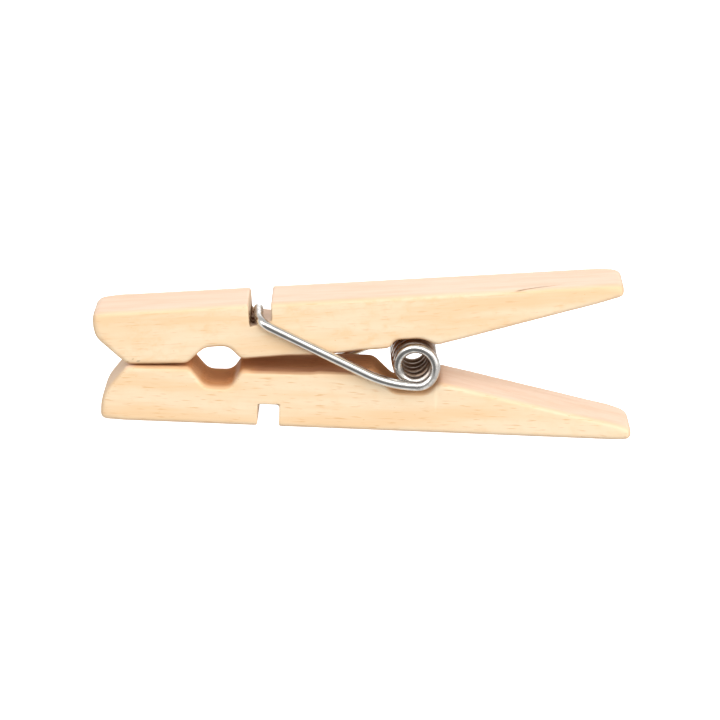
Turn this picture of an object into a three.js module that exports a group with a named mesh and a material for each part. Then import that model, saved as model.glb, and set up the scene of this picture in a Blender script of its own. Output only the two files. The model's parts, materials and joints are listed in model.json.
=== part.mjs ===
// Wooden spring clothespin, closed: two shaped wooden halves held together by
// one torsion spring bent from a single length of wire.
//
// Millimetres, +Z up. X runs along the peg, jaws at -X and handles at +X, and
// Y runs across its width. The lower half lies on its flat outer face at z = 0,
// and the origin is the middle of the underside of the whole peg's box.

import * as THREE from "three";

const degrees = Math.PI / 180;

// Both halves are cut across from the same kind of strip.
const woodWidth = 10;
const edgeChamfer = 0.35;

// One half, seen from the side in its own frame: x along the half, heights
// measured from its flat outer face towards the other half.
const lowerHalf = {
  jawEnd: -36,
  tipEnd: 36,
  nose: { height: 3.5, run: 3.4, rounding: 1.8 },
  outerRounding: 0.6,
  jawThickness: { front: 7.7, back: 7.88 },
  lineNotch: { from: -24.2, to: -17.1, floorFrom: -21.9, floorTo: -18.6, floor: 5.25 },
  waistThickness: { jawSide: 7.65, coilSide: 7.98 },
  coilNotch: { from: 0.85, to: 9.8, floorFrom: 3.5, floorTo: 7.9, floor: 5.5, rounding: 0.8 },
  handleThickness: 7.15,
  tip: { thickness: 1.8, outerRounding: 0.6, innerRounding: 0.9 },
  slot: { from: -14.7, to: -11.8, depth: 3.1 },
};

const upperHalf = {
  jawEnd: -36,
  tipEnd: 35.6,
  nose: { height: 3.4, run: 4.2, rounding: 1.2 },
  outerRounding: 1.0,
  jawThickness: { front: 7.43, back: 7.82 },
  lineNotch: { from: -23.7, to: -16.4, floorFrom: -21.2, floorTo: -18.0, floor: 5.72 },
  waistThickness: { jawSide: 7.62, coilSide: 7.27 },
  coilNotch: { from: 3.7, to: 10.0, floorFrom: 4.5, floorTo: 8.1, floor: 6.15, rounding: 0.5 },
  handleThickness: 7.2,
  tip: { thickness: 1.85, outerRounding: 0.9, innerRounding: 0.5 },
  slot: { from: -14.9, to: -11.85, depth: 3.25 },
};

// Where the upper half's own frame stands: its outer face leans up towards the handle.
const upperTilt = 5.6 * degrees;
const upperOrigin = new THREE.Vector3(-1.64, 0, 18.4);

// The spring's coil lies across the peg between the halves, which roll on it.
const wireDiameter = 1.3;
const coilCentre = new THREE.Vector3(6.6, 0, 9.25);
const coilRadius = 2.5;
const coilLean = 0.55;             // how much nearer to the jaws its far turns stand
const coilRise = 0.2;              // and how much higher
const wholeTurns = 5;
const freeGap = 0.3;               // between the wire and the wood, and where coil and leg meet
const legPlane = woodWidth / 2 + freeGap + wireDiameter / 2;
const upperLegSweep = 3.7;         // tangent length of the near leg's long bend beside the coil
const tangBend = 2.2;              // tangent length of the bend into the slot
const upperTangStart = new THREE.Vector3(-14.95, -legPlane, 14.8);
const upperTangEnd = new THREE.Vector3(-15.2, 0.5, 15.15);
const lowerTangStart = new THREE.Vector3(-13.55, legPlane, 2.1);
const lowerTangEnd = new THREE.Vector3(-13.45, 0.8, 2.1);

const wireSides = 10;
const stepsPerTurn = 24;
const legSteps = 52;

const beech = new THREE.MeshStandardMaterial({ color: 0xf3d3a4, roughness: 0.72, metalness: 0 });
const beechDarker = new THREE.MeshStandardMaterial({ color: 0xefcb97, roughness: 0.74, metalness: 0 });
const brightWire = new THREE.MeshStandardMaterial({ color: 0xcfd0d2, roughness: 0.22, metalness: 1 });

// A closed outline through [x, height, rounding] corners.
function roundedOutline(corners) {
  const points = corners.map(([x, y]) => new THREE.Vector2(x, y));
  const shape = new THREE.Shape();
  corners.forEach(([, , rounding = 0], i) => {
    const corner = points[i];
    const before = points.at(i - 1).clone().sub(corner).setLength(rounding).add(corner);
    const after = points[(i + 1) % points.length].clone().sub(corner).setLength(rounding).add(corner);
    if (i === 0) {
      shape.moveTo(before.x, before.y);
    } else {
      shape.lineTo(before.x, before.y);
    }
    if (rounding > 0) {
      shape.quadraticCurveTo(corner.x, corner.y, after.x, after.y);
    }
  });
  shape.closePath();
  return shape;
}

// The side view of one half, going round from the outer corner of its jaw.
function halfOutline(half) {
  const { nose, jawThickness, lineNotch, waistThickness, coilNotch, tip, slot } = half;
  return roundedOutline([
    [half.jawEnd, 0, half.outerRounding],
    [slot.from, 0],
    [slot.from, slot.depth],
    [slot.to, slot.depth],
    [slot.to, 0],
    [half.tipEnd, 0, tip.outerRounding],
    [half.tipEnd, tip.thickness, tip.innerRounding],
    [coilNotch.to, half.handleThickness, 0.4],
    [coilNotch.floorTo, coilNotch.floor, 0.8],
    [coilNotch.floorFrom, coilNotch.floor, coilNotch.rounding],
    [coilNotch.from, waistThickness.coilSide, coilNotch.rounding],
    [lineNotch.to, waistThickness.jawSide, 0.4],
    [lineNotch.floorTo, lineNotch.floor, 0.9],
    [lineNotch.floorFrom, lineNotch.floor, 0.9],
    [lineNotch.from, jawThickness.back, 0.5],
    [half.jawEnd + nose.run, jawThickness.front, 0.5],
    [half.jawEnd, nose.height, nose.rounding],
  ]);
}

// A wooden half lying on its outer face, its inner face up.
function woodenHalf(name, half, material) {
  const geometry = new THREE.ExtrudeGeometry(halfOutline(half), {
    depth: woodWidth - 2 * edgeChamfer,
    curveSegments: 5,
    bevelThickness: edgeChamfer,
    bevelSize: edgeChamfer,
    bevelOffset: -edgeChamfer,
    bevelSegments: 1,
  });
  geometry.rotateX(Math.PI / 2);
  geometry.translate(0, woodWidth / 2 - edgeChamfer, 0);
  const mesh = new THREE.Mesh(geometry, material);
  mesh.name = name;
  return mesh;
}

// Round wire swept along a curve.
function wire(name, path, steps) {
  const section = new THREE.Shape();
  for (let i = 0; i < wireSides; i += 1) {
    const angle = (i / wireSides) * 2 * Math.PI;
    const x = (wireDiameter / 2) * Math.cos(angle);
    const y = (wireDiameter / 2) * Math.sin(angle);
    if (i === 0) {
      section.moveTo(x, y);
    } else {
      section.lineTo(x, y);
    }
  }
  section.closePath();
  const geometry = new THREE.ExtrudeGeometry(section, { extrudePath: path, steps });
  const mesh = new THREE.Mesh(geometry, brightWire);
  mesh.name = name;
  return mesh;
}

// The far leg leaves the coil in a straight line at this slope.
const farCentre = new THREE.Vector3(coilCentre.x - coilLean, legPlane, coilCentre.z + coilRise);
const lowerReach = new THREE.Vector2(farCentre.x - lowerTangStart.x, farCentre.z - lowerTangStart.z);
const lowerLegSlope = lowerReach.angle() + Math.asin(coilRadius / lowerReach.length());

// The coil's centre line: it starts at the bottom on the -Y side and winds
// through +X and the top to the +Y side, where it leaves along the far leg.
class CoilCurve extends THREE.Curve {
  static startAngle = -90 * degrees;
  static endAngle = (90 + 360 * wholeTurns) * degrees + lowerLegSlope;

  getPoint(t, target = new THREE.Vector3()) {
    const angle = THREE.MathUtils.lerp(CoilCurve.startAngle, CoilCurve.endAngle, t);
    const farness = 1 - (1 - t) ** 3;
    return target.set(
      coilCentre.x - coilLean * farness + coilRadius * Math.cos(angle),
      THREE.MathUtils.lerp(-legPlane, legPlane, t),
      coilCentre.z + coilRise * farness + coilRadius * Math.sin(angle),
    );
  }
}

// A leg: it leaves the coil, sweeps round into a straight run along the peg's
// side, and bends across into the slot in the half that it presses on.
function legCurve(coilEnd, departure, sweep, tangStart, tangEnd) {
  const sweepCorner = coilEnd.clone().addScaledVector(departure, sweep);
  const towards = (from, to, distance) => to.clone().sub(from).setLength(distance).add(from);
  const start = coilEnd.clone().addScaledVector(departure, freeGap);
  const sweepEnd = towards(sweepCorner, tangStart, sweep);
  const bendStart = towards(tangStart, sweepCorner, tangBend);
  const bendEnd = towards(tangStart, tangEnd, tangBend);
  const path = new THREE.CurvePath();
  path.add(new THREE.QuadraticBezierCurve3(start, sweepCorner, sweepEnd));
  path.add(new THREE.LineCurve3(sweepEnd, bendStart));
  path.add(new THREE.QuadraticBezierCurve3(bendStart, tangStart, bendEnd));
  path.add(new THREE.LineCurve3(bendEnd, tangEnd));
  return path;
}

const coil = new CoilCurve();
const upperDeparture = new THREE.Vector3(-1, 0, 0);
const lowerDeparture = new THREE.Vector3(-Math.cos(lowerLegSlope), 0, -Math.sin(lowerLegSlope));
const upperLeg = legCurve(coil.getPoint(0), upperDeparture, upperLegSweep, upperTangStart, upperTangEnd);
const lowerLeg = legCurve(coil.getPoint(1), lowerDeparture, 1, lowerTangStart, lowerTangEnd);

// The upper half is turned over, leaned back and set down on the lower one.
const upperFrame = new THREE.Group();
upperFrame.position.copy(upperOrigin);
upperFrame.rotation.y = -upperTilt;
const upperMesh = woodenHalf("upper_half", upperHalf, beechDarker);
upperMesh.rotation.x = Math.PI;
upperFrame.add(upperMesh);

const clothespin = new THREE.Group();
clothespin.add(
  woodenHalf("lower_half", lowerHalf, beech),
  upperFrame,
  wire("spring_coil", coil, Math.round(stepsPerTurn * (wholeTurns + 0.5))),
  wire("spring_upper_leg", upperLeg, legSteps),
  wire("spring_lower_leg", lowerLeg, legSteps),
);

const middle = new THREE.Box3().setFromObject(clothespin, true).getCenter(new THREE.Vector3());
clothespin.position.set(-middle.x, -middle.y, 0);

export default clothespin;
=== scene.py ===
import json
import math

import bpy
import numpy as np
from mathutils import Matrix, Vector, noise


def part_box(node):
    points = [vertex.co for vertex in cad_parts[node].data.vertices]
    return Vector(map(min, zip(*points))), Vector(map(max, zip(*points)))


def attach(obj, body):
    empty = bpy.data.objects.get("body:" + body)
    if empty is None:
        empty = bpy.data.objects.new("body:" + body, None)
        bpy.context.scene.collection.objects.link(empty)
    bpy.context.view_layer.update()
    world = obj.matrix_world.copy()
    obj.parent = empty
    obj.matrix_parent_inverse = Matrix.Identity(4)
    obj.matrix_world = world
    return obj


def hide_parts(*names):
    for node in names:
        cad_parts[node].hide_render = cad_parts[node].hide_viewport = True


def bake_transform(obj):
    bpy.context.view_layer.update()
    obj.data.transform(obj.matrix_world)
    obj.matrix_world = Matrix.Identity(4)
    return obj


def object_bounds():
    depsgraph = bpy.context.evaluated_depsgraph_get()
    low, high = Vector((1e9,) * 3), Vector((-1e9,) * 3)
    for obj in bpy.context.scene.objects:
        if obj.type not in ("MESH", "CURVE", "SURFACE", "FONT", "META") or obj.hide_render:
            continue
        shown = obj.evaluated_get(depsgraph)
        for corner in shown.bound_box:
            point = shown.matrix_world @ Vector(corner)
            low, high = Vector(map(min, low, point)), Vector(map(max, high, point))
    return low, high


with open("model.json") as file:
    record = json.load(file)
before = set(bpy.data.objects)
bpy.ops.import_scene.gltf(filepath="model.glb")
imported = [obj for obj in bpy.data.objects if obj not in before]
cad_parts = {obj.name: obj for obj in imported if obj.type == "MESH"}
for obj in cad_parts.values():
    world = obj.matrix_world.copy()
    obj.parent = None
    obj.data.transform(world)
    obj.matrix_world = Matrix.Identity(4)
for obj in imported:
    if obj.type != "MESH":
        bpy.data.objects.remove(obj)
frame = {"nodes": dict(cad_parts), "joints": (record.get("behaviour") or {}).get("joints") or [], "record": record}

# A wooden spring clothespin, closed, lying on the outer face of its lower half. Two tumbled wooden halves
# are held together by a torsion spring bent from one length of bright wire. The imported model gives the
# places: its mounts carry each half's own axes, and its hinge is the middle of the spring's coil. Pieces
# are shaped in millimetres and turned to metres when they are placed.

MM = 0.001
cad_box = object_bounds()
scene = bpy.context.scene


# ---------------------------------------------------------------- camera

camera_azimuth = -0.35               # degrees, as all angles given here
camera_elevation = 15.75
camera_roll = 2.4
camera_distance = 449.5 * MM
camera_lens = 165
look_at = (cad_box[0] + cad_box[1]) / 2 + Vector((-0.46, 0, -2.41)) * MM


def direction(azimuth, elevation):
    """The way out from the object, in degrees: azimuth 0 is -Y, and elevation is above the floor."""
    azimuth, elevation = math.radians(azimuth), math.radians(elevation)
    level = math.cos(elevation)
    return Vector((math.sin(azimuth) * level, -math.cos(azimuth) * level, math.sin(elevation)))


def add_camera():
    back = direction(camera_azimuth, camera_elevation)
    level_right = Vector((0, 0, 1)).cross(back).normalized()
    right = Matrix.Rotation(math.radians(camera_roll), 3, back) @ level_right
    up = back.cross(right)
    data = bpy.data.cameras.new("camera")
    data.lens = camera_lens
    data.clip_start = 0.02
    data.clip_end = 20
    camera = bpy.data.objects.new("camera", data)
    turn = Matrix((right, up, back)).transposed().to_4x4()
    camera.matrix_world = Matrix.Translation(look_at + camera_distance * back) @ turn
    scene.collection.objects.link(camera)
    scene.camera = camera


add_camera()


# ---------------------------------------------------------------- node materials


class Nodes:
    """A material's or world's node tree, with a short call to add a node and join it up."""

    def __init__(self, owner):
        owner.use_nodes = True
        self.tree = owner.node_tree
        self.tree.nodes.clear()

    def add(self, kind, inputs=None, **settings):
        node = self.tree.nodes.new(kind)
        for name, value in settings.items():
            setattr(node, name, value)
        for name, value in (inputs or {}).items():
            self.join(value, node.inputs[name])
        return node

    def join(self, value, socket):
        """Links another node's output to the socket, or gives the socket a value."""
        if isinstance(value, bpy.types.NodeSocket):
            self.tree.links.new(value, socket)
        else:
            socket.default_value = value

    def noise(self, place, scale, detail, roughness, seed):
        """Noise from 0 to 1 on a place in millimetres, scale giving the features per millimetre each way."""
        shift = (seed, seed, seed)
        stretched = self.add("ShaderNodeMapping", {"Vector": place, "Scale": scale, "Location": shift})
        settings = {"Vector": stretched.outputs[0], "Scale": 1.0, "Detail": detail, "Roughness": roughness}
        return self.add("ShaderNodeTexNoise", settings).outputs["Fac"]

    def remap(self, value, low, high, to_low=0.0, to_high=1.0):
        settings = {"Value": value, "From Min": low, "From Max": high, "To Min": to_low, "To Max": to_high}
        return self.add("ShaderNodeMapRange", settings, interpolation_type="SMOOTHSTEP").outputs[0]

    def math(self, operation, a, b=0.0):
        return self.add("ShaderNodeMath", {0: a, 1: b}, operation=operation).outputs[0]

    def product(self, a, b):
        return self.math("MULTIPLY", a, b)

    def mix(self, factor, a, b):
        """Colour a, going over to colour b as the factor goes from 0 to 1."""
        # The node has several inputs of each name, so its colour ones go by number.
        return self.add("ShaderNodeMix", {0: factor, 6: a, 7: b}, data_type="RGBA").outputs[2]

    def stored(self, name, output="Fac"):
        """What the mesh stores under the name at each point."""
        return self.add("ShaderNodeAttribute", attribute_name=name).outputs[output]


pale_wood = (0.755, 0.600, 0.415, 1)
warm_wood = (0.735, 0.515, 0.305, 1)
orange_grain = (0.610, 0.320, 0.130, 1)
# Partly the wide faces' own tone, partly painted sheen.
flat_sawn_and_sheen = (0.765, 0.565, 0.435, 1)
flat_sawn_grain_and_sheen = (0.715, 0.495, 0.350, 1)
end_grain = (0.560, 0.385, 0.250, 1)
# Partly the cutter's browning, partly painted shade in the gaps between the halves.
milled_brown_and_shade = (0.600, 0.280, 0.108, 1)
burnished_edge = (0.660, 0.450, 0.260, 1)
# Painted shade in the waist's gap.
waist_shade_brown = (0.330, 0.145, 0.072, 1)
red_brown = (0.250, 0.070, 0.026, 1)
# Saw scorch, and painted shade in the slot and the crack.
scorch_and_shade_brown = (0.080, 0.026, 0.008, 1)
worn_pale = (0.860, 0.700, 0.500, 1)


def side_grain(nodes, place, seed, mottling):
    """The colour of a half's sides: layers along the grain, and soft blotches."""
    layers = nodes.noise(place, (0.035, 0.42, 0.42), 3, 0.55, seed)
    blotches = nodes.noise(place, (0.55, 0.75, 0.75), 3, 0.6, seed + 31)
    colour = nodes.mix(nodes.remap(layers, 0.36, 0.66), pale_wood, warm_wood)
    return nodes.mix(nodes.product(nodes.remap(blotches, 0.45, 0.75), mottling), colour, warm_wood)


def wide_face_grain_and_sheen(nodes, place, seed, fibres):
    """The pinker colour of its outer and inner faces: partly their flat-sawn tone, partly painted sheen where
    light grazes them.
    """
    figure = nodes.noise(place, (0.07, 0.55, 0.55), 4, 0.65, seed + 61)
    colour = nodes.mix(nodes.remap(figure, 0.38, 0.68), flat_sawn_and_sheen, flat_sawn_grain_and_sheen)
    return nodes.mix(nodes.remap(fibres, 0.50, 0.80, 0.0, 0.22), colour, warm_wood)


def browning_and_gap_shade(nodes, place, facing_in, fibres):
    """How much the inner faces are browned, and the brown: partly the cutter's browning, partly painted shade.

    The inner faces and notches are browned from behind the nose to the coil, partly by the cutter and partly
    as painted shade in the gaps between the halves. Painted shade makes the waist darkest towards its sides,
    and in front of the waist painted light pales the brown towards the sides.
    """
    length, across, _ = nodes.add("ShaderNodeSeparateXYZ", {0: place}).outputs
    off_centre = nodes.math("ABSOLUTE", across)
    reach = nodes.product(nodes.remap(length, 3.5, 5.0), nodes.remap(length, 43.0, 48.0, 1.0, 0.0))
    milled_and_shaded = nodes.product(nodes.remap(facing_in, 0.35, 0.75, 0.0, 0.9), reach)
    waist = nodes.product(nodes.remap(length, 19.0, 22.0), nodes.remap(length, 35.0, 37.0, 0.8, 0.0))
    before_waist = nodes.remap(waist, 0.0, 0.4, 1.0, 0.0)
    # Painted shade in the waist's gap, darkest towards its sides.
    deep = nodes.product(waist, nodes.remap(off_centre, 0.5, 4.6))
    # Painted light falling in at the sides, in front of the waist.
    lit_sides = nodes.product(nodes.remap(off_centre, 3.0, 4.9, 0.0, 0.45), before_waist)
    brown = nodes.mix(deep, milled_brown_and_shade, waist_shade_brown)
    brown = nodes.mix(nodes.remap(fibres, 0.42, 0.66, 0.0, 0.35), brown, red_brown)
    return milled_and_shaded, nodes.mix(lit_sides, brown, warm_wood)


def wood_material(name, seed, streaks, mottling):
    """Bare pale wood in a half's own axes, its grain along x.

    streaks is how strong the fine dashes are, and mottling how strong the soft blotches.
    """
    material = bpy.data.materials.new(name)
    nodes = Nodes(material)
    coordinates = nodes.add("ShaderNodeTexCoord").outputs
    to_mm = nodes.add("ShaderNodeVectorMath", {0: coordinates["Object"], "Scale": 1 / MM}, operation="SCALE")
    place = to_mm.outputs[0]
    facing_x, facing_y, facing_z = nodes.add("ShaderNodeSeparateXYZ", {0: coordinates["Normal"]}).outputs
    fibres = nodes.noise(place, (0.20, 5.5, 5.5), 4, 0.6, seed + 7)
    dashes = nodes.noise(place, (0.42, 4.2, 4.2), 1, 0.4, seed + 19)
    specks = nodes.noise(place, (2.2, 4.2, 4.2), 0, 0.5, seed + 43)

    colour = side_grain(nodes, place, seed, mottling)
    colour = nodes.mix(nodes.product(nodes.remap(dashes, 0.60, 0.76), streaks), colour, orange_grain)
    colour = nodes.mix(nodes.remap(fibres, 0.55, 0.85, 0.0, 0.28), colour, orange_grain)
    colour = nodes.mix(nodes.remap(specks, 0.80, 0.90, 0.0, 0.5), colour, orange_grain)
    # The wide faces: partly their own pinker tone, partly painted sheen where light grazes them.
    wide_faces_and_sheen = nodes.remap(nodes.math("ABSOLUTE", facing_z), 0.45, 0.85, 0.0, 0.85)
    colour = nodes.mix(wide_faces_and_sheen, colour, wide_face_grain_and_sheen(nodes, place, seed, fibres))
    ends = nodes.remap(nodes.math("ABSOLUTE", facing_x), 0.45, 0.85, 0.0, 0.7)
    colour = nodes.mix(ends, colour, end_grain)
    # The inner faces: the cutter's browning and painted shade in the gaps between the halves.
    milled_and_shaded, brown = browning_and_gap_shade(nodes, place, facing_z, fibres)
    colour = nodes.mix(milled_and_shaded, colour, brown)
    sideways = nodes.math("ABSOLUTE", facing_y)
    edges = nodes.product(nodes.remap(sideways, 0.10, 0.45), nodes.remap(sideways, 0.70, 0.97, 0.35, 0.0))
    colour = nodes.mix(edges, colour, burnished_edge)
    colour = nodes.mix(nodes.stored("pale"), colour, worn_pale)
    # Scorch, and painted shade in the slot, its corners and the crack.
    scorch_and_shade = nodes.stored("scorch_and_shade")
    colour = nodes.mix(scorch_and_shade, colour, scorch_and_shade_brown)

    sheen = nodes.remap(nodes.math("MAXIMUM", milled_and_shaded, scorch_and_shade), 0.0, 0.5, 0.25, 0.0)
    relief = nodes.math("ADD", fibres, nodes.product(dashes, 0.6))
    bump = nodes.add("ShaderNodeBump", {"Height": relief, "Strength": 0.35, "Distance": 0.02 * MM})
    surface = nodes.add("ShaderNodeBsdfPrincipled", {
        "Base Color": colour,
        "Roughness": nodes.remap(fibres, 0.3, 0.8, 0.46, 0.62),
        "Specular IOR Level": sheen,
        "Normal": bump.outputs[0],
    })
    nodes.add("ShaderNodeOutputMaterial", {"Surface": surface.outputs[0]})
    return material


bright_steel = (0.76, 0.74, 0.70, 1)
dull_steel = (0.46, 0.44, 0.42, 1)
# Partly oil, partly painted shade and painted reflection of the brown wood.
oily_shaded_steel = (0.25, 0.16, 0.10, 1)


def wire_material():
    """Bright plated wire: faint lines along it from drawing, duller patches where it's scuffed, and grime that is
    partly oil and partly painted shade and painted reflection of the wood.
    """
    material = bpy.data.materials.new("bright_wire")
    nodes = Nodes(material)
    place = nodes.add("ShaderNodeTexCoord").outputs["Object"]
    to_mm = nodes.add("ShaderNodeVectorMath", {0: place, "Scale": 1 / MM}, operation="SCALE")
    lines = nodes.noise(nodes.stored("run", "Vector"), (0.12, 9.0, 9.0), 3, 0.6, 3)
    patches = nodes.noise(to_mm.outputs[0], (0.8, 0.8, 0.8), 3, 0.6, 11)
    scuffs = nodes.stored("scuffs")
    grime_and_shade = nodes.stored("grime_and_shade")
    dullness = nodes.product(nodes.remap(patches, 0.38, 0.66), nodes.remap(scuffs, 0.0, 1.0, 0.3, 0.9))
    colour = nodes.mix(dullness, bright_steel, dull_steel)
    colour = nodes.mix(nodes.product(grime_and_shade, 0.9), colour, oily_shaded_steel)
    roughness = nodes.math("ADD", nodes.remap(dullness, 0.0, 1.0, 0.12, 0.26), nodes.product(scuffs, 0.05))
    roughness = nodes.math("ADD", roughness, nodes.product(grime_and_shade, 0.2))
    bump = nodes.add("ShaderNodeBump", {"Height": lines, "Strength": 0.25, "Distance": 0.004 * MM})
    surface = nodes.add("ShaderNodeBsdfPrincipled", {
        "Base Color": colour,
        "Metallic": 1.0,
        "Roughness": roughness,
        "Normal": bump.outputs[0],
    })
    nodes.add("ShaderNodeOutputMaterial", {"Surface": surface.outputs[0]})
    return material


# ---------------------------------------------------------------- wooden halves

voxel_size = 0.2                     # of the grid that each half is meshed on again before it is worn


def half_axes(node, mount_name):
    """A half's own axes in metres: x from its jaw end, y across it, z inwards from its outer face."""
    mount = next(m for m in frame["record"]["mounts"] if m["name"] == mount_name)
    inwards = -Vector(mount["axis"]).normalized()
    along = (Vector((1, 0, 0)) - inwards.x * inwards).normalized()
    across = inwards.cross(along)
    origin = Vector(mount["pos_m"])
    jaw_end = min((v.co - origin).dot(along) for v in frame["nodes"][node].data.vertices)
    turn = Matrix((along, across, inwards)).transposed().to_4x4()
    return Matrix.Translation(origin + jaw_end * along) @ turn


def evaluated_mesh(mesh, kind, **settings):
    """The mesh with one modifier applied."""
    holder = bpy.data.objects.new("shaping", mesh)
    scene.collection.objects.link(holder)
    modifier = holder.modifiers.new(kind, kind)
    for name, value in settings.items():
        setattr(modifier, name, value)
    graph = bpy.context.evaluated_depsgraph_get()
    result = bpy.data.meshes.new_from_object(holder.evaluated_get(graph))
    bpy.data.objects.remove(holder)
    return result


def points_of(mesh, attribute="co"):
    points = np.empty(len(mesh.vertices) * 3)
    mesh.vertices.foreach_get(attribute, points)
    return points.reshape(-1, 3)


def set_points(mesh, points):
    mesh.vertices.foreach_set("co", points.ravel())
    mesh.update()


def smooth(points, edges, rate, rounds):
    """Moves each point towards the middle of its neighbours, at its own rate."""
    both_ways = np.concatenate([edges, edges[:, ::-1]])
    count = np.bincount(both_ways[:, 0], minlength=len(points))
    for _ in range(rounds):
        middle = np.stack([
            np.bincount(both_ways[:, 0], points[both_ways[:, 1], axis], len(points)) / count
            for axis in range(3)
        ], axis=1)
        points = points + (rate * np.ones(len(points)))[:, None] * (middle - points)
    return points


def ramp(values, start, end):
    """0 up to start, 1 from end, and smooth between."""
    t = np.clip((values - start) / (end - start), 0, 1)
    return t * t * (3 - 2 * t)


def within(values, low, high, fade):
    """1 between low and high, fading to 0 outside them."""
    return ramp(values, low - fade, low) * (1 - ramp(values, high, high + fade))


def unevenness(points, size, seed):
    """Smooth noise from about -1 to 1 at each point, with features of the given size."""
    shift = Vector((seed, seed, seed))
    return np.array([noise.noise(Vector(p) / size + shift) for p in points])


def block(outline, opposite):
    """A closed block to shape a solid with, from the outlines of two opposite faces."""
    count = len(outline)
    faces = [tuple(reversed(range(count))), tuple(range(count, 2 * count))]
    for i in range(count):
        after = (i + 1) % count
        faces.append((i, after, count + after, count + i))
    mesh = bpy.data.meshes.new("block")
    mesh.from_pydata([*outline, *opposite], [], faces)
    tool = bpy.data.objects.new("block", mesh)
    scene.collection.objects.link(tool)
    return tool


class Slot:
    """The cut across a half's outer face that the spring's tang lies in, in the half's own axes.

    The depths are those of its floor's four corners: jaw side and handle side at -y, then the same at +y.
    """

    def __init__(self, start, end, depths):
        self.start, self.end, self.depths = start, end, depths

    def floor(self, x, y, half_width):
        """How deep its floor is at each place."""
        minus_jaw, minus_handle, plus_jaw, plus_handle = self.depths
        along = np.clip((x - self.start) / (self.end - self.start), 0, 1)
        across = np.clip((y + half_width) / (2 * half_width), 0, 1)
        minus = minus_jaw + (minus_handle - minus_jaw) * along
        plus = plus_jaw + (plus_handle - plus_jaw) * along
        return minus + (plus - minus) * across

    def mask(self, points, half_width, fade):
        """1 in the slot, fading to 0 outside it."""
        x, y, z = points.T
        floor = self.floor(x, y, half_width)
        return within(x, self.start, self.end, fade) * (1 - ramp(z, floor, floor + fade))

    def filling(self, half_width):
        """Fills the CAD solid's slot, up to its sides, its chamfered edges and its outer face."""
        skin, chamfer, overlap = 0.01, 0.36, 0.7
        side, edge, top = half_width + skin, half_width - chamfer, max(self.depths) + 1
        section = [
            (-edge, -skin), (edge, -skin), (side, chamfer),
            (side, top), (-side, top), (-side, chamfer),
        ]
        return block(
            [(self.start - overlap, y, z) for y, z in section],
            [(self.end + overlap, y, z) for y, z in section],
        )

    def cutter(self, half_width):
        """Cuts it again, with sharp corners and an uneven floor."""
        low, high, side = self.start, self.end, half_width + 1
        minus_jaw, minus_handle, plus_jaw, plus_handle = self.depths
        return block(
            [(low, -side, -1), (high, -side, -1), (high, side, -1), (low, side, -1)],
            [
                (low, -side, minus_jaw), (high, -side, minus_handle),
                (high, side, plus_handle), (low, side, plus_jaw),
            ],
        )


def blade(start, end, inwards, thickness, depth):
    """A thin lens-shaped wedge along start to end, which cuts a crack when it's taken from a solid."""
    along = (end - start).normalized()
    sideways = along.cross(inwards).normalized()
    stations = 12
    above = 0.4                         # how far it stands out of the wood
    overrun = 0.05
    waviness = 0.05
    vertices = [start - overrun * along]
    for i in range(1, stations):
        t = i / stations
        width = thickness * math.sin(math.pi * t) * (0.75 + 0.25 * math.sin(9 * t))
        spine = start.lerp(end, t) + waviness * math.sin(7 * t) * sideways
        vertices += [
            spine - above * inwards + width * sideways,
            spine - above * inwards - width * sideways,
            spine + depth * math.sin(math.pi * t) * inwards,
        ]
    vertices.append(end + overrun * along)
    last = len(vertices) - 1
    faces = [(0, 2, 1), (0, 3, 2), (0, 1, 3)]
    for i in range(stations - 2):
        low = 1 + 3 * i
        for a, b in ((0, 1), (1, 2), (2, 0)):
            faces.append((low + a, low + b, low + 3 + b, low + 3 + a))
    faces += [(last, last - 3, last - 2), (last, last - 2, last - 1), (last, last - 1, last - 3)]
    mesh = bpy.data.meshes.new("blade")
    mesh.from_pydata(vertices, [], faces)
    cutter = bpy.data.objects.new("blade", mesh)
    scene.collection.objects.link(cutter)
    return cutter


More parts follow.
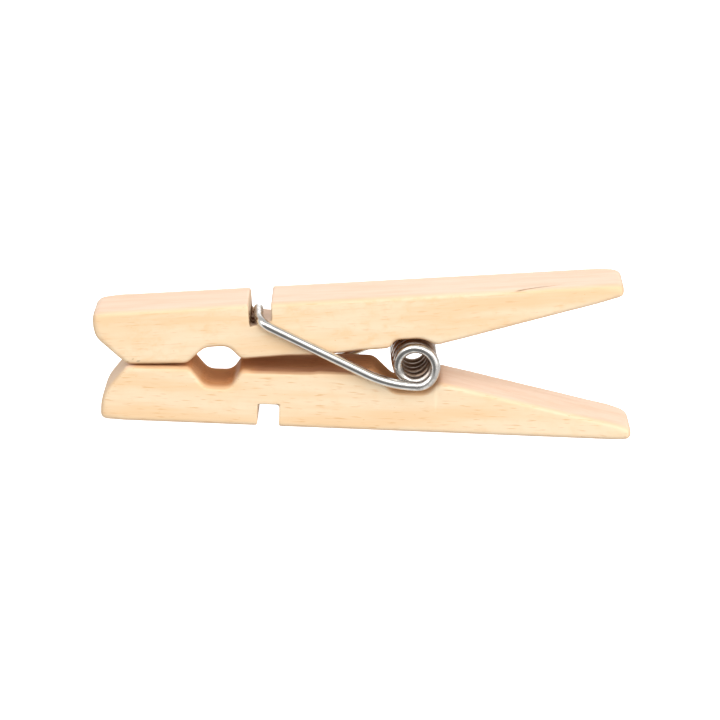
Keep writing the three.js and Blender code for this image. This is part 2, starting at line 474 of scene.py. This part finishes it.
class Half:
    """One wooden half: the CAD solid with its edges and ends worn and its cuts and marks added."""

    def __init__(self, node, mount_name, near_side, slot):
        self.axes = half_axes(node, mount_name)
        self.node = node
        self.near_side = near_side      # the sign of its own y on the side that faces the camera
        self.slot = slot
        mesh = frame["nodes"][node].data.copy()
        mesh.transform(Matrix.Scale(1 / MM, 4) @ self.axes.inverted())
        self.mesh = evaluated_mesh(mesh, "WELD", merge_threshold=0.001)
        self.length, self.half_width, _ = points_of(self.mesh).max(axis=0)
        self.combine("UNION", slot.filling(self.half_width))
        self.combine("DIFFERENCE", slot.cutter(self.half_width))
        self.mesh = evaluated_mesh(self.mesh, "REMESH", mode="VOXEL", voxel_size=voxel_size)
        for name in ("scorch_and_shade", "pale"):
            self.mesh.attributes.new(name, "FLOAT", "POINT")

    def combine(self, operation, tool):
        self.mesh = evaluated_mesh(self.mesh, "BOOLEAN", object=tool, operation=operation, solver="EXACT")
        bpy.data.objects.remove(tool)

    def wear(self):
        """Tumbling has rounded every edge, the slot's least and the far corners of both ends most."""
        rate = 0.5
        points = points_of(self.mesh)
        edges = np.array([e.vertices[:] for e in self.mesh.edges])
        x, y, z = points.T
        points = smooth(points, edges, rate, 2)
        cut = self.slot.mask(points, self.half_width, 0.5) * ramp(z, 0.2, 0.8)
        points = smooth(points, edges, rate * (1 - cut), 5)
        far = 0.35 + 0.65 * ramp(-self.near_side * y, 0, self.half_width)
        corner = far * ramp(np.abs(y), self.half_width - 2.5, self.half_width - 0.5)
        jaw_wear = 1 - ramp(x, 0.8, 3.5)
        tip_wear = ramp(x, self.length - 3.0, self.length - 0.8)
        points = smooth(points, edges, rate * corner * (jaw_wear + tip_wear), 60)
        set_points(self.mesh, points)

    def swell(self):
        """The faces are slightly uneven, but not the one that the peg lies on."""
        points = points_of(self.mesh)
        normals = points_of(self.mesh, "normal")
        height = 0.03 * unevenness(points, 4.0, self.near_side) + 0.012 * unevenness(points, 1.1, 5.0)
        lift = ramp(points[:, 2], 0.1, 0.6) * height
        set_points(self.mesh, points + lift[:, None] * normals)

    def thicken(self, start, end, fade, height):
        """The inner face stands out a little between two places along the half."""
        points = points_of(self.mesh)
        x, _, z = points.T
        points[:, 2] += height * within(x, start, end, fade) * ramp(z, 4.0, 6.5)
        set_points(self.mesh, points)

    def roughen_slot(self):
        """The saw has left torn fibres on the slot's jaw side."""
        points = points_of(self.mesh)
        x, y, z = points.T
        slot = self.slot
        torn = slot.mask(points, self.half_width, 0.2) * ramp(z, 0.9, 1.5)
        torn = torn * (1 - ramp(x, slot.start + 0.1, slot.start + 1.0))
        near = ramp(self.near_side * y, 0, self.half_width)
        points[:, 0] += torn * near * 0.22 * unevenness(points * (1, 0.8, 1.6), 0.33, 3.0)
        set_points(self.mesh, points)

    def split(self, start, end, thickness, depth):
        """Opens a crack along an edge, with painted shade along its first two thirds."""
        inwards = Vector((0, -self.near_side, 1)).normalized()
        self.combine("DIFFERENCE", blade(start, end, inwards, thickness, depth))
        points = points_of(self.mesh)
        along = np.array(end - start)
        share = np.clip((points - start) @ along / (along @ along), 0, 1)
        away = np.linalg.norm(points - start - share[:, None] * along, axis=1)
        # Painted shade along the crack.
        self.store("scorch_and_shade", 0.75 * (1 - ramp(away, 0.08, 0.24)) * within(share, 0.25, 0.5, 0.2))

    def mark(self, name, spots):
        """Stores spots on the near side, each (x, z, half length, half height, how strong)."""
        points = points_of(self.mesh)
        x, y, z = points.T
        near = ramp(self.near_side * y, self.half_width - 0.8, self.half_width - 0.3)
        strength = np.zeros(len(points))
        for centre_x, centre_z, half_length, half_height, share in spots:
            away = np.hypot((x - centre_x) / half_length, (z - centre_z) / half_height)
            strength = np.maximum(strength, share * near * (1 - ramp(away, 0.5, 1.3)))
        self.store(name, strength)

    def store(self, name, strength):
        """Makes the wood at least this scorched and shaded, or this pale, at each point."""
        attribute = self.mesh.attributes[name]
        before = np.empty(len(self.mesh.vertices), np.float32)
        attribute.data.foreach_get("value", before)
        attribute.data.foreach_set("value", np.maximum(before, strength).astype(np.float32))

    def scorch_and_shade_slot(self):
        """The slot is browned, partly by the saw and partly as painted shade deepening into it: most on its torn
        jaw side, and further up where it opens nearest.
        """
        points = points_of(self.mesh)
        x, y, z = points.T
        slot = self.slot
        nearness = self.near_side * y
        short_of_far_end = ramp(nearness, -0.95 * self.half_width, -0.6 * self.half_width)
        near_end = ramp(nearness, 0.6 * self.half_width, 0.95 * self.half_width)
        # Painted shade, growing deeper into the slot.
        deep = np.maximum(ramp(z, 1.5, 2.3), near_end * ramp(z, 0.7, 1.3))
        jaw_side = 1 - ramp(x, slot.start + 0.5, slot.start + 1.2)
        patches = 0.85 + 0.7 * unevenness(points * (1, 0.7, 1), 0.5, 9.0)
        strength = (0.06 + 0.94 * jaw_side * short_of_far_end) * deep * np.clip(patches, 0, 1)
        self.store("scorch_and_shade", strength * slot.mask(points, self.half_width, 0.12))

    def place(self, name, body, material):
        self.mesh.transform(Matrix.Scale(MM, 4))
        self.mesh.shade_smooth()
        self.mesh.set_sharp_from_angle(angle=math.radians(50))
        self.mesh.materials.clear()
        self.mesh.materials.append(material)
        self.mesh.name = name
        piece = bpy.data.objects.new(name, self.mesh)
        scene.collection.objects.link(piece)
        piece.matrix_world = self.axes
        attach(piece, body)
        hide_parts(self.node)


def lower_half():
    half = Half("lower_half", "lower_outer_face", -1, Slot(21.3, 24.2, (3.05, 3.05, 3.1, 3.1)))
    half.wear()
    half.swell()
    half.thicken(29.5, 36.0, 1.5, 0.14)
    # Painted shade darkens both corners of the slot's floor.
    half.mark("scorch_and_shade", [
        (half.slot.start + 0.1, 3.05, 0.16, 0.10, 0.9),
        (half.slot.end - 0.35, 3.1, 0.42, 0.10, 0.8),
    ])
    # A pale line runs down beside the coil.
    half.mark("pale", [(45.3, 5.3, 0.22, 1.9, 0.5)])
    half.place("lower_wooden_half", "lower", wood_material("lower_wood", 12.0, 0.65, 0.45))


def upper_half():
    half = Half("upper_half", "upper_outer_face", 1, Slot(21.15, 24.1, (3.0, 3.6, 3.0, 2.5)))
    half.wear()
    half.swell()
    half.thicken(29.5, 32.0, 4.0, 0.16)
    half.roughen_slot()
    near_edge = half.half_width
    half.split(Vector((56.3, near_edge, 0.3)), Vector((64.0, near_edge - 2.0, 0.0)), 0.12, 0.7)
    half.scorch_and_shade_slot()
    # Specks near the edge of the jaw.
    half.mark("scorch_and_shade", [
        (4.4, 7.05, 0.14, 0.10, 0.55),
        (5.8, 7.0, 0.20, 0.12, 0.6),
        (5.1, 6.7, 0.12, 0.08, 0.35),
    ])
    half.place("upper_wooden_half", "upper", wood_material("upper_wood", 57.0, 0.35, 0.9))


lower_half()
upper_half()


# ---------------------------------------------------------------- spring

hinge = Vector(next(j["pos_m"] for j in frame["joints"] if j["name"] == "jaw_hinge")) / MM
wood_half_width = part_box("lower_half")[1].y / MM

# Places are from the hinge, in millimetres. The near leg presses on the upper half, the far one on the lower.
wire_radius = 0.65
coil_radius = 2.5
coil_lean = 0.55                     # how much nearer to the jaws the far turns stand
coil_rise = 0.2                      # and how much higher
half_turns = 11
easing = 0.030                       # share of the coil over which its ends flatten
leg_gap = 0.14                       # between the legs and the wood
leg_plane = wood_half_width + leg_gap + wire_radius
near_leg_sweep = 3.7                 # length of the near leg's long bend beside the coil
far_leg_sweep = 1.0
tang_bend = 2.2                      # length of the bend from a leg into its tang
near_tang = (Vector((-21.55, -leg_plane, 5.55)), Vector((-21.8, 0.5, 5.9)))
far_tang = (Vector((-20.15, leg_plane, -7.15)), Vector((-20.05, 0.8, -7.15)))
wire_sides = 24
wire_step = 0.22
steps_per_turn = 48
sweep_steps = 30
bend_steps = 18
cut_end = 0.8                        # how thick the wire's chamfered ends are, as a share of the rest


def bend(start, corner, end, steps):
    """Points on a bend from start to end that turns at corner."""
    for i in range(steps):
        t = i / steps
        yield start * (1 - t) ** 2 + corner * 2 * t * (1 - t) + end * t * t


def run(start, end):
    """Points on a straight stretch, a wire step apart."""
    steps = max(2, round((end - start).length / wire_step))
    for i in range(steps):
        yield start.lerp(end, i / steps)


def leg(coil_end, departure, sweep, tang):
    """A leg from the coil to the end of its tang, sweep being the length of its long bend beside the coil."""
    sweep_corner = coil_end + departure * sweep
    sweep_end = sweep_corner + (tang[0] - sweep_corner).normalized() * sweep
    bend_start = tang[0] + (sweep_corner - tang[0]).normalized() * tang_bend
    bend_end = tang[0] + (tang[1] - tang[0]).normalized() * tang_bend
    return [
        *bend(coil_end, sweep_corner, sweep_end, sweep_steps),
        *run(sweep_end, bend_start),
        *bend(bend_start, tang[0], bend_end, bend_steps),
        *run(bend_end, tang[1]),
        tang[1],
    ]


def coil(far_slope):
    """Points on the coil from the near side to the far side, its pitch easing in and out."""
    first = -math.pi / 2
    total = math.pi * half_turns + far_slope
    steps = steps_per_turn * half_turns // 2
    for i in range(steps + 1):
        t = i / steps
        if t < easing:
            part = t * t / (2 * easing)
        elif t > 1 - easing:
            part = 1 - easing - (1 - t) ** 2 / (2 * easing)
        else:
            part = t - easing / 2
        angle = first + total * t
        across = leg_plane * (2 * part / (1 - easing) - 1)
        farness = 1 - (1 - t) ** 3
        x = coil_radius * math.cos(angle) - coil_lean * farness
        z = coil_radius * math.sin(angle) + coil_rise * farness
        yield Vector((x, across, z))


def grime_shade_and_scuffs(vertices):
    """How grimy and how scuffed the wire is at each point, on the coil and in the upper slot; the grime is partly
    oil, partly painted shade and painted reflection of the wood in the coil.
    """
    x, y, z = np.array(vertices).T
    from_hinge = np.hypot(x, z)
    behind = ramp(y, -leg_plane + 0.8, -leg_plane + 2.4)
    outside = ramp(np.hypot(x + coil_lean * behind, z), coil_radius - 0.3, coil_radius + 0.2)
    last_turn = ramp(y, leg_plane - 1.5, leg_plane - 0.5)
    sheltered = within(from_hinge, 0, coil_radius + 0.7, 0.5) * (1 - outside * last_turn)
    # Darker brown on the turns behind the near one and in the bore: partly oil, partly painted shade and painted
    # reflection of the wood.
    grime_and_shade = behind * (1 - 0.25 * outside) * sheltered
    in_slot = ramp(y, -leg_plane + 0.6, -leg_plane + 1.6) * (1 - ramp(x, -18.5, -17.5))
    scuffs = np.maximum(within(from_hinge, 0, coil_radius + 0.5, 0.5), 2 * in_slot)
    return {"grime_and_shade": grime_and_shade, "scuffs": scuffs}


def wire_mesh(name, centres):
    """A round wire along the points, its cut ends slightly chamfered."""
    last = len(centres) - 1
    angles = [2 * math.pi * k / wire_sides for k in range(wire_sides)]
    side = (centres[1] - centres[0]).normalized().orthogonal().normalized()
    travelled = 0.0
    vertices = []
    along_and_around = []
    for i, centre in enumerate(centres):
        before, after = centres[max(i - 1, 0)], centres[min(i + 1, last)]
        tangent = (after - before).normalized()
        side = (side - side.dot(tangent) * tangent).normalized()
        other = tangent.cross(side)
        travelled += (centre - before).length
        share = cut_end if i in (0, last) else 1.0
        for angle in angles:
            out = math.cos(angle) * side + math.sin(angle) * other
            vertices.append(centre + wire_radius * share * out)
            along_and_around.append((travelled, math.cos(angle), math.sin(angle)))
    faces = [tuple(reversed(range(wire_sides)))]
    for i in range(last):
        low, high = i * wire_sides, (i + 1) * wire_sides
        for k in range(wire_sides):
            after = (k + 1) % wire_sides
            faces.append((low + k, low + after, high + after, high + k))
    faces.append(tuple(range(last * wire_sides, len(vertices))))
    mesh = bpy.data.meshes.new(name)
    mesh.from_pydata([(v + hinge) * MM for v in vertices], [], faces)
    stored_run = mesh.attributes.new("run", "FLOAT_VECTOR", "POINT")
    stored_run.data.foreach_set("vector", np.array(along_and_around, np.float32).ravel())
    for attribute_name, strength in grime_shade_and_scuffs(vertices).items():
        attribute = mesh.attributes.new(attribute_name, "FLOAT", "POINT")
        attribute.data.foreach_set("value", strength.astype(np.float32))
    mesh.shade_smooth()
    mesh.materials.append(wire_material())
    return mesh


def torsion_spring():
    # The far leg leaves the coil in a straight line to its slot, so it touches the coil's circle.
    drop = coil_rise - far_tang[0].z
    reach = -coil_lean - far_tang[0].x
    far_slope = math.atan2(drop, reach) + math.asin(coil_radius / math.hypot(drop, reach))
    turns = list(coil(far_slope))
    near_way = Vector((-1, 0, 0))
    far_way = Vector((-math.cos(far_slope), 0, -math.sin(far_slope)))
    near = leg(turns[0], near_way, near_leg_sweep, near_tang)
    far = leg(turns[-1], far_way, far_leg_sweep, far_tang)
    mesh = wire_mesh("torsion_spring", [*reversed(near[1:]), *turns, *far[1:]])
    spring = bpy.data.objects.new("torsion_spring", mesh)
    scene.collection.objects.link(spring)
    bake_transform(spring)
    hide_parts("spring_coil", "spring_upper_leg", "spring_lower_leg")


torsion_spring()


# ---------------------------------------------------------------- floor and light


def plane(name, corners, material):
    mesh = bpy.data.meshes.new(name)
    mesh.from_pydata(corners, [], [tuple(range(len(corners)))])
    mesh.materials.append(material)
    item = bpy.data.objects.new(name, mesh)
    scene.collection.objects.link(item)
    return item


def plain_material(name, colour, roughness, glow):
    material = bpy.data.materials.new(name)
    nodes = Nodes(material)
    surface = nodes.add("ShaderNodeBsdfPrincipled", {
        "Base Color": (*colour, 1),
        "Roughness": roughness,
        "Emission Color": (1, 1, 1, 1),
        "Emission Strength": glow,
    })
    nodes.add("ShaderNodeOutputMaterial", {"Surface": surface.outputs[0]})
    return material


def floor():
    """A pale table, glowing so that no shadow shows on it, which throws no light on the peg."""
    radius = 3.0
    angles = np.linspace(0, 2 * math.pi, 64, False)
    rim = [(radius * math.cos(a), radius * math.sin(a), -0.02 * MM) for a in angles]
    table = plane("floor", rim, plain_material("pale_floor", (0.60, 0.60, 0.60), 0.9, 1.0))
    table.visible_diffuse = False
    table.visible_glossy = False


def softbox(name, azimuth, elevation, distance, size, radiance, reflected=True):
    """A square area light facing the object, which the bright wire needn't show."""
    toward = direction(azimuth, elevation)
    data = bpy.data.lights.new(name, "AREA")
    data.size = size
    data.energy = radiance * math.pi * size * size
    light = bpy.data.objects.new(name, data)
    light.location = toward * distance
    light.rotation_mode = "QUATERNION"
    light.rotation_quaternion = toward.to_track_quat("Z", "Y")
    light.visible_glossy = reflected
    scene.collection.objects.link(light)


def studio():
    """An even white room, a little dimmer overhead, with a dark place low down in front."""
    world = bpy.data.worlds.new("studio")
    scene.world = world
    nodes = Nodes(world)
    way = nodes.add("ShaderNodeTexCoord").outputs["Generated"]
    height = nodes.add("ShaderNodeSeparateXYZ", {0: way}).outputs[2]
    glow = nodes.remap(height, 0.45, 0.85, 0.95, 0.60)
    towards_dark = {0: way, 1: direction(-25, -20)}
    nearness = nodes.add("ShaderNodeVectorMath", towards_dark, operation="DOT_PRODUCT").outputs["Value"]
    strength = nodes.product(glow, nodes.remap(nearness, 0.72, 0.88, 1.0, 0.22))
    background = nodes.add("ShaderNodeBackground", {"Color": (1, 1, 1, 1), "Strength": strength})
    nodes.add("ShaderNodeOutputWorld", {"Surface": background.outputs[0]})


floor()
studio()
softbox("left_softbox", -50, 40, 0.8, 0.5, 2.0)
softbox("right_softbox", 50, 30, 0.8, 0.5, 2.4)
softbox("front_softbox", 0, 42, 0.9, 0.65, 1.9)
softbox("fill_softbox", 15, 8, 1.2, 0.8, 1.85, reflected=False)
softbox("top_softbox", 0, 75, 1.0, 0.8, 0.7, reflected=False)
softbox("side_softbox", 80, 14, 1.2, 0.8, 1.8, reflected=False)
softbox("back_softbox", 180, 20, 1.2, 0.35, 1.2)
scene.view_settings.view_transform = "Standard"
